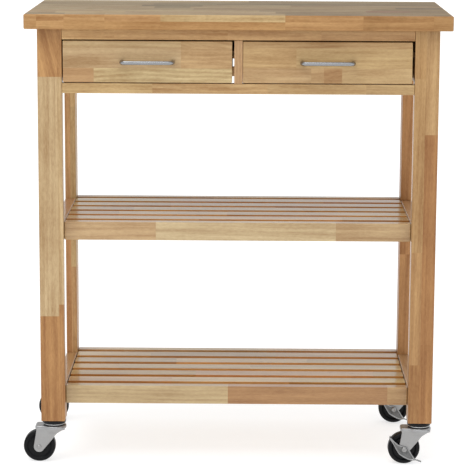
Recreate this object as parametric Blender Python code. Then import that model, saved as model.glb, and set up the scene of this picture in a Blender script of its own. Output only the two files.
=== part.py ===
"""Butcher block kitchen trolley: solid wood top on two side frames, two drawers,
two slatted shelves and four swivel casters, the right-hand pair with brakes.

Frame: +Z up, front of the trolley faces -Y, origin on the floor under the middle
of the overall box.  Metres.  Every separate piece is its own object.
"""
import math

import bmesh
import bpy
from mathutils import Matrix, Vector

# ---------------------------------------------------------------- dimensions
TOP_W, TOP_D, TOP_T = 0.800, 0.400, 0.028      # butcher block top
HEIGHT = 0.870                                  # floor to the working surface
STOCK = 0.022                                   # thickness of the frame boards
BOARD = 0.046                                   # width of the leg boards
GAP = 0.0003                                    # assembly gap between touching pieces

X_IN = 0.331                                    # inner faces of the legs
Y_FRONT = -0.182                                # front faces of the front legs
Y_BACK = 0.162                                  # back faces of the rear legs
Z_LEG = 0.084                                   # underside of the legs
Z_OPEN_TOP, Z_OPEN_BOT = 0.822, 0.740           # drawer opening
Z_RAIL_BOT = 0.721                              # underside of the rail below the drawers
STILE_W = 0.015                                 # thickness of the divider
REAR_APRON_BOT = 0.757
SIDE_APRON_BOT = 0.742

SHELF_TOPS = {"middle": 0.472, "lower": 0.150}
SHELF_RAIL_H = 0.035
SLATS, SLAT_W, SLAT_T = 5, 0.036, 0.015
LEDGE_W, LEDGE_H = 0.018, 0.018

FRONT_W, FRONT_H, FRONT_T = 0.3175, 0.0776, 0.018   # drawer fronts
DRAWER_PLAY = {"left": -0.0010, "right": -0.0018}   # the fronts hang a little to the left
BOX_W, BOX_L, BOX_H = 0.3135, 0.280, 0.062      # drawer boxes
SIDE_T, BOTTOM_T = 0.012, 0.004
RUNNER_W, RUNNER_H, RUNNER_Z = 0.0087, 0.010, 0.790
HANDLE_CC, HANDLE_R, HANDLE_OUT = 0.096, 0.004, 0.022

CASTER_X, CASTER_Y = 0.354, (-0.159, 0.139)     # swivel axes, front and rear
TRAIL = 0.0285
WHEEL_R, WHEEL_HW, BORE_R, AXLE_R = 0.031, 0.011, 0.0034, 0.0030
CHEEK_IN, CHEEK_OUT = 0.0145, 0.0170
CROWN = (0.0662, 0.0727)
CROWN_R = 0.0235

# the box of the whole trolley runs from the left front wheel to the right end of
# the top, and from the handles to the back of the top; its middle is the origin
OFFSET_X = -((-CASTER_X - TRAIL - WHEEL_R) + TOP_W / 2) / 2
OFFSET_Y = -((Y_FRONT - GAP - HANDLE_OUT - HANDLE_R) + TOP_D / 2) / 2

# ---------------------------------------------------------------- start clean
for old in list(bpy.data.objects):
    bpy.data.objects.remove(old, do_unlink=True)


def material(name, rgb, roughness, metallic=0.0):
    m = bpy.data.materials.new(name)
    m.use_nodes = True
    b = m.node_tree.nodes["Principled BSDF"]
    b.inputs["Base Color"].default_value = (*rgb, 1.0)
    b.inputs["Roughness"].default_value = roughness
    b.inputs["Metallic"].default_value = metallic
    return m


WOOD = (0.50, 0.31, 0.15)
PALE = (0.58, 0.40, 0.22)
ZINC = (0.56, 0.57, 0.58)
BLACK = (0.018, 0.018, 0.020)

COLLECTION = bpy.context.scene.collection


def empty(name, location, parent=None):
    e = bpy.data.objects.new(name, None)
    e.empty_display_size = 0.03
    e.location = location
    e.parent = parent
    COLLECTION.objects.link(e)
    return e


TROLLEY = empty("trolley", (OFFSET_X, OFFSET_Y, 0.0))

# ---------------------------------------------------------------- solid shapes


def merge(bm, part):
    """Adds a finished small bmesh to bm as one more separate body."""
    bmesh.ops.recalc_face_normals(part, faces=part.faces[:])
    mesh = bpy.data.meshes.new("tmp")
    part.to_mesh(mesh)
    part.free()
    bm.from_mesh(mesh)
    bpy.data.meshes.remove(mesh)


def add_box(bm, lo, hi, chamfer=0.0):
    part = bmesh.new()
    size = [hi[i] - lo[i] for i in range(3)]
    mid = [(hi[i] + lo[i]) / 2 for i in range(3)]
    bmesh.ops.create_cube(part, size=1.0, matrix=Matrix.Translation(mid) @ Matrix.Diagonal((*size, 1.0)))
    if chamfer:
        bmesh.ops.bevel(part, geom=part.edges[:], offset=chamfer, segments=1, affect="EDGES", profile=0.5)
    merge(bm, part)


def axis_matrix(axis):
    """Turns local Z onto the given world axis."""
    return {"Z": Matrix.Identity(4), "X": Matrix.Rotation(math.radians(90), 4, "Y"),
            "Y": Matrix.Rotation(math.radians(-90), 4, "X")}[axis]


def add_lathe(bm, profile, sides, origin, axis):
    """Turned solid: profile is a closed ring of (radius, height) points, or it
    starts and ends on the axis with radius 0."""
    part = bmesh.new()
    rings = []
    for r, h in profile:
        if r == 0.0:
            rings.append([part.verts.new((0.0, 0.0, h))])
        else:
            rings.append([part.verts.new((r * math.cos(2 * math.pi * i / sides), r * math.sin(2 * math.pi * i / sides), h))
                          for i in range(sides)])
    closed = profile[0][0] != 0.0
    pairs = list(zip(rings, rings[1:])) + ([(rings[-1], rings[0])] if closed else [])
    for a, b in pairs:
        for i in range(sides):
            j = (i + 1) % sides
            if len(a) == 1:
                part.faces.new((a[0], b[i], b[j]))
            elif len(b) == 1:
                part.faces.new((a[i], a[j], b[0]))
            else:
                part.faces.new((a[i], a[j], b[j], b[i]))
    bmesh.ops.transform(part, matrix=Matrix.Translation(origin) @ axis_matrix(axis), verts=part.verts[:])
    merge(bm, part)


def add_cylinder(bm, radius, start, end, axis, across, sides=8):
    """Round bar along one axis, from start to end; across is its other two
    coordinates in X, Y, Z order."""
    k = "XYZ".index(axis)
    origin = list(across)
    origin.insert(k, 0.0)
    part = bmesh.new()
    ring = [(radius * math.cos(2 * math.pi * (i + 0.5) / sides), radius * math.sin(2 * math.pi * (i + 0.5) / sides)) for i in range(sides)]
    ends = []
    for pos in (start, end):
        verts = []
        for u, v in ring:
            p = [u + across[0], v + across[1]]
            p.insert(k, pos)
            verts.append(part.verts.new(p))
        ends.append(verts)
    part.faces.new(ends[0])
    part.faces.new(ends[1])
    for i in range(sides):
        j = (i + 1) % sides
        part.faces.new((ends[0][i], ends[0][j], ends[1][j], ends[1][i]))
    merge(bm, part)


def add_prism(bm, outline, axis, lo, hi):
    """Outline in the plane across the axis: its coordinates are the other two, in
    X, Y, Z order."""
    part = bmesh.new()
    rings = []
    for pos in (lo, hi):
        rings.append([part.verts.new({"X": (pos, u, v), "Y": (u, pos, v), "Z": (u, v, pos)}[axis]) for u, v in outline])
    part.faces.new(rings[0])
    part.faces.new(rings[1])
    n = len(outline)
    for i in range(n):
        j = (i + 1) % n
        part.faces.new((rings[0][i], rings[0][j], rings[1][j], rings[1][i]))
    merge(bm, part)


def add_sweep(bm, points, radius, sides):
    """Round bar along a path that lies in the XY plane."""
    part = bmesh.new()
    rings = []
    for i, p in enumerate(points):
        a = points[max(i - 1, 0)]
        b = points[min(i + 1, len(points) - 1)]
        t = (Vector(b) - Vector(a)).normalized()
        side = Vector((-t.y, t.x, 0.0))
        up = Vector((0.0, 0.0, 1.0))
        rings.append([part.verts.new(Vector(p) + radius * (math.cos(2 * math.pi * k / sides) * side + math.sin(2 * math.pi * k / sides) * up))
                      for k in range(sides)])
    for a, b in zip(rings, rings[1:]):
        for i in range(sides):
            j = (i + 1) % sides
            part.faces.new((a[i], a[j], b[j], b[i]))
    part.faces.new(rings[0])
    part.faces.new(rings[-1])
    merge(bm, part)


def finish(name, bm, mat, origin=(0, 0, 0), parent=None, smooth=False):
    """Makes the object; the mesh is given in the trolley's own coordinates and is
    moved so that the object's origin lies at the given point."""
    origin = Vector(origin)
    parent = parent or TROLLEY
    base = Vector((0, 0, 0))
    node = parent
    while node is not None and node is not TROLLEY:
        base += node.location
        node = node.parent
    bmesh.ops.translate(bm, vec=-origin, verts=bm.verts[:])
    mesh = bpy.data.meshes.new(name)
    bm.to_mesh(mesh)
    bm.free()
    if smooth:
        mesh.shade_smooth()
        mesh.set_sharp_from_angle(angle=math.radians(35))
    mesh.materials.append(mat)
    obj = bpy.data.objects.new(name, mesh)
    obj.location = origin - base
    obj.parent = parent
    COLLECTION.objects.link(obj)
    return obj


def board(name, lo, hi, mat, parent=None, chamfer=0.0012):
    bm = bmesh.new()
    add_box(bm, lo, hi, chamfer)
    return finish(name, bm, mat, [(lo[i] + hi[i]) / 2 for i in range(3)], parent)


def cut(obj, name, bm, operation="DIFFERENCE"):
    """Boolean with a hidden wire cutter."""
    tool = finish(name, bm, CUTTER)
    tool.hide_render = True
    tool.display_type = "WIRE"
    mod = obj.modifiers.new(name, "BOOLEAN")
    mod.operation = operation
    mod.solver = "EXACT"
    mod.object = tool
    return tool


def mirrored(lo, hi, side):
    """The same box on the left (-1) or the right (+1)."""
    return ((lo[0], lo[1], lo[2]), (hi[0], hi[1], hi[2])) if side > 0 else ((-hi[0], lo[1], lo[2]), (-lo[0], hi[1], hi[2]))


CUTTER = material("cutter", (0.8, 0.1, 0.1), 0.5)
X_OUT = X_IN + BOARD                 # outer faces of the front legs
X_SIDE = X_IN + STOCK                # outer faces of the side rails and rear legs
Z_TOP = HEIGHT - TOP_T               # underside of the top
Y_FRAME = Y_FRONT + STOCK            # back faces of the front legs
SIDES = (("left", -1), ("right", 1))

# ---------------------------------------------------------------- top
board("butcher_block_top", (-TOP_W / 2, -TOP_D / 2, Z_TOP), (TOP_W / 2, TOP_D / 2, HEIGHT),
      material("top_wood", (0.42, 0.27, 0.14), 0.45), chamfer=0.0022)

# ---------------------------------------------------------------- side frames
STEM_R, STEM_HOLE_R, STEM_TOP = 0.0040, 0.0044, 0.1100
Z_LOWER_RAIL = SHELF_TOPS["lower"] - SHELF_RAIL_H


def union(obj, name, bm):
    return cut(obj, name, bm, "UNION")


def stem_hole(obj, name, s, y):
    """Blind hole for a caster's stem, up from the foot."""
    bm = bmesh.new()
    add_cylinder(bm, STEM_HOLE_R, Z_LEG - 0.01, STEM_TOP + GAP, "Z", (s * CASTER_X, y), 12)
    cut(obj, name, bm)


def tongue(obj, name, x0, x1, y0, y1):
    """Hardwood runner strip glued on for a drawer side to hang on."""
    bm = bmesh.new()
    add_box(bm, (min(x0, x1), y0, RUNNER_Z), (max(x0, x1), y1, RUNNER_Z + RUNNER_H), 0.0006)
    union(obj, name, bm)


for side_name, s in SIDES:
    wood = material(side_name + "_leg_wood", WOOD, 0.5)
    # front leg: a wide board facing forward, with a block glued behind its foot so
    # that a caster stands centred under it
    lo, hi = mirrored((X_IN, Y_FRONT, Z_LEG), (X_OUT, Y_FRAME, Z_TOP - GAP), s)
    leg = board("front_%s_leg" % side_name, lo, hi, wood)
    bm = bmesh.new()
    lo, hi = mirrored((X_IN + 0.0002, Y_FRAME - 0.006, Z_LEG + 0.0002), (X_OUT - 0.0002, Y_FRAME + 0.024, Z_LOWER_RAIL - GAP), s)
    add_box(bm, lo, hi, 0.001)
    union(leg, "front_%s_foot" % side_name, bm)
    stem_hole(leg, "front_%s_stem_hole" % side_name, s, CASTER_Y[0])
    # rear leg: the same board on edge, its foot block glued on the outside
    lo, hi = mirrored((X_IN, Y_BACK - BOARD, Z_LEG), (X_SIDE, Y_BACK, Z_TOP - GAP), s)
    leg = board("rear_%s_leg" % side_name, lo, hi, wood)
    bm = bmesh.new()
    lo, hi = mirrored((X_SIDE - 0.006, Y_BACK - BOARD + 0.0002, Z_LEG + 0.0002), (X_OUT, Y_BACK - 0.0002, Z_LOWER_RAIL - GAP), s)
    add_box(bm, lo, hi, 0.001)
    union(leg, "rear_%s_foot" % side_name, bm)
    stem_hole(leg, "rear_%s_stem_hole" % side_name, s, CASTER_Y[1])
    # side apron between the legs, with the outer runner strip of a drawer
    lo, hi = mirrored((X_IN, Y_FRAME + GAP, SIDE_APRON_BOT), (X_SIDE, Y_BACK - BOARD - GAP, Z_TOP - GAP), s)
    apron = board(side_name + "_side_apron", lo, hi, wood)
    tongue(apron, side_name + "_apron_runner", s * (X_IN - RUNNER_W), s * (X_IN + 0.004), Y_FRAME + 0.0006, Y_BACK - BOARD - 0.0006)

# ---------------------------------------------------------------- drawer-level frame
RAIL_WOOD = material("rail_wood", PALE, 0.5)
XR = X_IN - GAP
board("front_top_rail", (-XR, Y_FRONT, Z_OPEN_TOP), (XR, Y_FRAME, Z_TOP - GAP), RAIL_WOOD)
board("front_drawer_rail", (-XR, Y_FRONT, Z_RAIL_BOT), (XR, Y_FRAME, Z_OPEN_BOT), RAIL_WOOD)
board("rear_apron", (-XR, Y_BACK - STOCK, REAR_APRON_BOT), (XR, Y_BACK, Z_TOP - GAP), RAIL_WOOD)
board("rear_drawer_rail", (-XR, Y_BACK - STOCK, Z_RAIL_BOT), (XR, Y_BACK, Z_OPEN_BOT), RAIL_WOOD)

# divider between the drawers: its front edge is the stile seen between them, and it
# is notched around the two front rails
outline = [(Y_FRONT, Z_OPEN_BOT + GAP), (Y_FRONT, Z_OPEN_TOP - GAP), (Y_FRAME + GAP, Z_OPEN_TOP - GAP), (Y_FRAME + GAP, Z_TOP - GAP),
           (Y_BACK - STOCK - GAP, Z_TOP - GAP), (Y_BACK - STOCK - GAP, Z_RAIL_BOT), (Y_FRAME + GAP, Z_RAIL_BOT),
           (Y_FRAME + GAP, Z_OPEN_BOT + GAP)]
bm = bmesh.new()
add_prism(bm, outline, "X", -STILE_W / 2, STILE_W / 2)
bmesh.ops.bevel(bm, geom=bm.edges[:], offset=0.0010, segments=1, affect="EDGES", profile=0.5)
divider = finish("centre_divider", bm, RAIL_WOOD, (0, 0, Z_OPEN_BOT))
tongue(divider, "divider_runners", -STILE_W / 2 - RUNNER_W, STILE_W / 2 + RUNNER_W, Y_FRAME + 0.0006, 0.1150)

# ---------------------------------------------------------------- shelves
SHELF_Y0, SHELF_Y1 = Y_FRAME + STOCK, Y_BACK - STOCK       # clear depth between the rails
SLAT_GAP = (SHELF_Y1 - SHELF_Y0 - SLATS * SLAT_W) / (SLATS + 1)
for level, z in SHELF_TOPS.items():
    zb = z - SHELF_RAIL_H
    wood = material(level + "_shelf_wood", PALE, 0.5)
    board(level + "_shelf_front_rail", (-XR, Y_FRAME, zb), (XR, Y_FRAME + STOCK, z), wood)
    board(level + "_shelf_rear_rail", (-XR, Y_BACK - STOCK, zb), (XR, Y_BACK, z), wood)
    for side_name, s in SIDES:
        # side rail with the ledge that carries the slat ends
        lo, hi = mirrored((X_IN, Y_FRAME + GAP, zb), (X_SIDE, Y_BACK - BOARD - GAP, z), s)
        side = board("%s_shelf_%s_rail" % (level, side_name), lo, hi, wood)
        ledge = z - SLAT_T - GAP
        bm = bmesh.new()
        lo, hi = mirrored((X_IN - LEDGE_W, SHELF_Y0 + GAP, ledge - LEDGE_H), (X_IN + 0.004, Y_BACK - BOARD - 0.0006, ledge), s)
        add_box(bm, lo, hi, 0.0008)
        union(side, "%s_%s_ledge" % (level, side_name), bm)
    for i in range(SLATS):
        y = SHELF_Y0 + SLAT_GAP * (i + 1) + SLAT_W * i
        board("%s_shelf_slat_%d" % (level, i + 1), (-X_IN + 0.0015, y, z - SLAT_T), (X_IN - 0.0015, y + SLAT_W, z), wood, chamfer=0.0015)

# ---------------------------------------------------------------- drawers
FRONT_Z = (Z_OPEN_BOT + 0.002, Z_OPEN_BOT + 0.002 + FRONT_H)
BOX_Z = 0.746
HANDLE_Z = (FRONT_Z[0] + FRONT_Z[1]) / 2
Y_BOX = Y_FRONT + FRONT_T + GAP                  # drawer sides start behind the front
for side_name, s in SIDES:
    mid = s * (STILE_W / 2 + X_IN) / 2           # middle of the opening
    drawer = empty(side_name + "_drawer", (mid, Y_FRONT, FRONT_Z[0]), TROLLEY)
    fx = mid + DRAWER_PLAY[side_name]
    pale = material(side_name + "_drawer_front_wood", PALE, 0.48)
    ply = material(side_name + "_drawer_box_wood", (0.62, 0.46, 0.28), 0.6)
    board(side_name + "_drawer_front", (fx - FRONT_W / 2, Y_FRONT, FRONT_Z[0]), (fx + FRONT_W / 2, Y_FRONT + FRONT_T, FRONT_Z[1]),
          pale, drawer, 0.0015)
    xo = BOX_W / 2
    for label, e in (("left", -1), ("right", 1)):
        x0, x1 = sorted((mid + e * xo, mid + e * (xo - SIDE_T)))
        panel = board("%s_drawer_%s_side" % (side_name, label), (x0, Y_BOX, BOX_Z), (x1, Y_BOX + BOX_L, BOX_Z + BOX_H), ply, drawer, 0.0008)
        bm = bmesh.new()
        a, b = sorted((mid + e * (xo + 0.01), mid + e * (xo - 0.006)))
        add_box(bm, (a, Y_FRAME, RUNNER_Z - 0.0007), (b, Y_BOX + BOX_L + 0.01, RUNNER_Z + RUNNER_H + 0.0007))
        a, b = sorted((mid + e * (xo - SIDE_T - 0.01), mid + e * (xo - SIDE_T + 0.004)))
        add_box(bm, (a, Y_BOX - 0.01, BOX_Z + 0.0052), (b, Y_BOX + BOX_L + 0.01, BOX_Z + 0.0058 + BOTTOM_T))
        cut(panel, "%s_%s_grooves" % (side_name, label), bm)
    inner = xo - SIDE_T
    board(side_name + "_drawer_bottom", (mid - inner - 0.0037, Y_BOX, BOX_Z + 0.0055), (mid + inner + 0.0037, Y_BOX + BOX_L, BOX_Z + 0.0055 + BOTTOM_T),
          ply, drawer, 0.0003)
    board(side_name + "_drawer_back", (mid - inner + GAP, Y_BOX + BOX_L - SIDE_T, BOX_Z + 0.0058 + BOTTOM_T),
          (mid + inner - GAP, Y_BOX + BOX_L, BOX_Z + BOX_H), ply, drawer, 0.0008)
    # bow handle: two posts and a bar in one bent rod
    r_bend = 0.009
    path = []
    y0 = Y_FRONT - GAP
    y1 = y0 - HANDLE_OUT
    path.append((fx - HANDLE_CC / 2, y0, HANDLE_Z))
    for i in range(6):
        a = math.radians(90 * i / 5)
        path.append((fx - HANDLE_CC / 2 + r_bend * (1 - math.cos(a)), y1 + r_bend * (1 - math.sin(a)), HANDLE_Z))
    for i in range(6):
        a = math.radians(90 * i / 5)
        path.append((fx + HANDLE_CC / 2 - r_bend * (1 - math.sin(a)), y1 + r_bend * (1 - math.cos(a)), HANDLE_Z))
    path.append((fx + HANDLE_CC / 2, y0, HANDLE_Z))
    bm = bmesh.new()
    add_sweep(bm, path, HANDLE_R, 10)
    finish(side_name + "_drawer_handle", bm, material(side_name + "_handle_nickel", (0.60, 0.60, 0.61), 0.32, 1.0),
           (fx, y0, HANDLE_Z), drawer, smooth=True)

# ---------------------------------------------------------------- casters
# side view of a fork cheek, from the swivel axis, heights above the floor
CHEEK_TOP = CROWN[0] + 0.003


def cheek_outline():
    """Tapered leg with a round end about the axle."""
    pts = [(-0.0345, CHEEK_TOP), (-0.0335, 0.0640), (-TRAIL - 0.0103, 0.0330)]
    for i in range(1, 8):
        a = math.radians(168 + (318 - 168) * i / 7)
        pts.append((-TRAIL + 0.0104 * math.cos(a), WHEEL_R + 0.0104 * math.sin(a)))
    pts += [(-0.0004, 0.0490), (0.0040, 0.0572), (0.0098, 0.0618), (0.0160, 0.0642), (0.0215, 0.0655), (0.0215, CHEEK_TOP)]
    return pts


def crown_outline():
    """Round plate about the kingpin with a square tongue out over the wheel."""
    back, half, r_back = -0.036, CHEEK_OUT, 0.006
    reach = math.pi - math.asin(half / CROWN_R)
    pts = []
    for i in range(15):
        a = -reach + 2 * reach * i / 14
        pts.append((CROWN_R * math.cos(a), CROWN_R * math.sin(a)))
    for cy, a0 in ((half - r_back, 90), (-half + r_back, 180)):
        for i in range(3):
            a = math.radians(a0 + 90 * i / 2)
            pts.append((back + r_back + r_back * math.cos(a), cy + r_back * math.sin(a)))
    return pts


# brake lever seen from the side, about the axle: a plate outside the front cheek, with a shoe tab over the
# tread at the upper end and a narrow pedal at the lower
LEVER = [(-0.0270, 0.0246), (-0.0116, 0.0098), (0.0031, 0.0060), (0.0072, 0.0036), (0.0212, -0.0180), (0.0336, -0.0238),
         (0.0328, -0.0256), (0.0226, -0.0217), (0.0147, -0.0222), (0.0067, -0.0197), (-0.0017, -0.0156), (-0.0098, -0.0098),
         (-0.0159, 0.0), (-0.0215, 0.0105), (-0.0290, 0.0215)]

for y_name, y in (("front", CASTER_Y[0]), ("rear", CASTER_Y[1])):
    for side_name, s in SIDES:
        tag = "%s_%s" % (y_name, side_name)
        x = s * CASTER_X
        braked = side_name == "right"
        # mount: threaded stem, cap and race above the fork, kingpin with a head below it
        bm = bmesh.new()
        add_lathe(bm, [(0.0, STEM_TOP), (STEM_R, STEM_TOP), (STEM_R, Z_LEG - GAP), (0.0222, Z_LEG - GAP), (0.0228, Z_LEG - 0.0012),
                       (0.0228, 0.0773), (0.0220, 0.0769), (0.0215, 0.0750), (0.0110, 0.0750), (0.0110, CROWN[1] + GAP),
                       (0.0050, CROWN[1] + GAP), (0.0050, CROWN[0] - GAP), (0.0080, CROWN[0] - GAP), (0.0072, CROWN[0] - 0.0024),
                       (0.0, CROWN[0] - 0.0024)], 24, (x, y, 0), "Z")
        finish(tag + "_caster_mount", bm, material(tag + "_cap_black", BLACK, 0.45), (x, y, Z_LEG), smooth=True)
        swivel = empty(tag + "_swivel", (x, y, CROWN[1]), TROLLEY)
        zinc = material(tag + "_fork_zinc", ZINC, 0.38, 1.0)
        # fork: crown plate with two cheeks
        bm = bmesh.new()
        add_prism(bm, [(x + u, y + v) for u, v in crown_outline()], "Z", *CROWN)
        fork = finish(tag + "_caster_fork", bm, zinc, (x, y, CROWN[1]), swivel)
        bm = bmesh.new()
        for lo, hi in ((-CHEEK_OUT + 0.0001, -CHEEK_IN), (CHEEK_IN, CHEEK_OUT - 0.0001)):
            add_prism(bm, [(x + u, v) for u, v in cheek_outline()], "Y", y + lo, y + hi)
        cut(fork, tag + "_fork_cheeks", bm, "UNION")
        bm = bmesh.new()
        add_cylinder(bm, 0.0054, CROWN[0] - 0.01, CROWN[1] + 0.01, "Z", (x, y), 12)
        add_cylinder(bm, AXLE_R + 0.0004, y - 0.03, y + 0.03, "Y", (x - TRAIL, WHEEL_R), 10)
        cut(fork, tag + "_fork_holes", bm)
        # wheel: turned solid tyre with a recessed face and a hub
        axle_at = (x - TRAIL, y, WHEEL_R)
        w = WHEEL_HW
        half = [(BORE_R, 0.0140), (0.0070, 0.0140), (0.0078, w - 0.002), (0.0235, w - 0.002), (0.0250, w), (0.0280, w), (0.0300, w - 0.0018),
                (WHEEL_R, w - 0.0050)]
        profile = half + [(r, -h) for r, h in reversed(half)]
        bm = bmesh.new()
        add_lathe(bm, profile, 28, axle_at, "Y")
        finish(tag + "_caster_wheel", bm, material(tag + "_tyre_black", BLACK, 0.55), axle_at, swivel, smooth=True)
        # axle: rivet through the cheeks and the hub; on a braked caster the near head also holds the lever
        near = 0.0193 if braked else CHEEK_OUT + GAP
        far = CHEEK_OUT + GAP
        head = 0.0052
        bm = bmesh.new()
        add_lathe(bm, [(0.0, -near - 0.0024), (head - 0.0012, -near - 0.0024), (head, -near - 0.0014), (head, -near), (AXLE_R, -near),
                       (AXLE_R, far), (head, far), (head, far + 0.0014), (head - 0.0012, far + 0.0024), (0.0, far + 0.0024)], 10, axle_at, "Y")
        finish(tag + "_caster_axle", bm, material(tag + "_axle_zinc", ZINC, 0.3, 1.0), axle_at, swivel, smooth=True)
        if braked:
            bm = bmesh.new()
            add_prism(bm, [(axle_at[0] + u, WHEEL_R + v) for u, v in LEVER], "Y", y - 0.0190, y - 0.0040)
            lever = finish(tag + "_brake_lever", bm, material(tag + "_lever_zinc", ZINC, 0.33, 1.0), axle_at, swivel)
            bm = bmesh.new()
            add_cylinder(bm, WHEEL_R + 0.0022, y - 0.0174, y + 0.0174, "Y", (axle_at[0], WHEEL_R), 32)
            cut(lever, tag + "_lever_hollow", bm)
            # the pedal tab is narrower than the shoe tab
            bm = bmesh.new()
            add_box(bm, (axle_at[0] + 0.010, y - 0.0125, WHEEL_R - 0.040), (axle_at[0] + 0.050, y + 0.010, WHEEL_R))
            cut(lever, tag + "_lever_pedal_trim", bm)
            bm = bmesh.new()
            add_cylinder(bm, AXLE_R + 0.0004, y - 0.03, y + 0.03, "Y", (axle_at[0], WHEEL_R), 10)
            cut(lever, tag + "_lever_hole", bm)

# ---------------------------------------------------------------- drop unused data
for mesh in [m for m in bpy.data.meshes if m.users == 0]:
    bpy.data.meshes.remove(mesh)
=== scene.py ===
"""Looks for the butcher block trolley: solid rubberwood boards glued up from staves,
bent-bar handles, and zinc casters with black wheels."""
import math
import random

import bmesh
import bpy
from mathutils import Matrix, Vector


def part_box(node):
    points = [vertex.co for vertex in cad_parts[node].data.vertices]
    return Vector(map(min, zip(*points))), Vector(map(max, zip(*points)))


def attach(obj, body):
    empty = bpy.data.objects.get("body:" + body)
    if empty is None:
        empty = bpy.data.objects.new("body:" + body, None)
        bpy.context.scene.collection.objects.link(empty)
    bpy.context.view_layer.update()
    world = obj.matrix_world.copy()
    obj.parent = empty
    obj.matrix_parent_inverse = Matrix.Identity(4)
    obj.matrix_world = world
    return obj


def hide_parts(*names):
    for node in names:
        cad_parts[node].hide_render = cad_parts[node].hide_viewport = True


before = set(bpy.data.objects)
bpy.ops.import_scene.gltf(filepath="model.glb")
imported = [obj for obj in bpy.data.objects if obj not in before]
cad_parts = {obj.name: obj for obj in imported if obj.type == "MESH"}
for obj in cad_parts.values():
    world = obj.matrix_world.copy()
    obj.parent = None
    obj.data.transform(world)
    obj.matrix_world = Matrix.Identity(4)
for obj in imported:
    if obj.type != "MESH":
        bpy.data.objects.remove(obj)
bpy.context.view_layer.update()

COLL = bpy.context.scene.collection


def lin(rgb):
    """sRGB 0..255 to linear."""
    out = []
    for c in rgb:
        c = c / 255.0
        out.append(c / 12.92 if c <= 0.04045 else ((c + 0.055) / 1.055) ** 2.4)
    return tuple(out)


# ================================================================ materials
class Tree:
    """Short hand for wiring shader nodes."""

    def __init__(self, name):
        self.mat = bpy.data.materials.new(name)
        self.mat.use_nodes = True
        self.nt = self.mat.node_tree
        self.bsdf = self.nt.nodes["Principled BSDF"]
        self.x = -300

    def node(self, kind, **props):
        n = self.nt.nodes.new(kind)
        self.x -= 60
        n.location = (self.x, 200)
        for k, v in props.items():
            setattr(n, k, v)
        return n

    def put(self, socket, value):
        if hasattr(value, "is_output"):
            self.nt.links.new(value, socket)
        else:
            socket.default_value = value

    def attr(self, name):
        return self.node("ShaderNodeAttribute", attribute_name=name, attribute_type="GEOMETRY")

    def math(self, op, a, b=None, c=None, clamp=False):
        n = self.node("ShaderNodeMath", operation=op, use_clamp=clamp)
        for i, v in enumerate((a, b, c)):
            if v is not None:
                self.put(n.inputs[i], v)
        return n.outputs[0]

    def vmath(self, op, a, b=None, scale=None):
        n = self.node("ShaderNodeVectorMath", operation=op)
        self.put(n.inputs[0], a)
        if b is not None:
            self.put(n.inputs[1], b)
        if scale is not None:
            self.put(n.inputs["Scale"], scale)
        return n.outputs["Value"] if op in ("LENGTH", "DOT_PRODUCT") else n.outputs[0]

    def noise(self, vec, scale=1.0, detail=2.0, rough=0.5, distortion=0.0):
        n = self.node("ShaderNodeTexNoise")
        n.noise_dimensions = "3D"
        self.put(n.inputs["Vector"], vec)
        n.inputs["Scale"].default_value = scale
        n.inputs["Detail"].default_value = detail
        n.inputs["Roughness"].default_value = rough
        n.inputs["Distortion"].default_value = distortion
        return n.outputs["Fac"]

    def remap(self, value, a, b, c=0.0, d=1.0, smooth=False):
        n = self.node("ShaderNodeMapRange")
        if smooth:
            n.interpolation_type = "SMOOTHSTEP"
        n.clamp = True
        self.put(n.inputs["Value"], value)
        for name, v in (("From Min", a), ("From Max", b), ("To Min", c), ("To Max", d)):
            n.inputs[name].default_value = v
        return n.outputs["Result"]

    def colour_mix(self, fac, a, b, blend="MIX"):
        n = self.node("ShaderNodeMix", data_type="RGBA", blend_type=blend)
        self.put(n.inputs[0], fac)
        self.put(n.inputs[6], a)
        self.put(n.inputs[7], b)
        return n.outputs[2]

    def bump(self, height, strength, distance):
        n = self.node("ShaderNodeBump")
        n.inputs["Strength"].default_value = strength
        n.inputs["Distance"].default_value = distance
        self.put(n.inputs["Height"], height)
        return n.outputs["Normal"]


def rgba(c):
    return (*c, 1.0)


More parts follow.
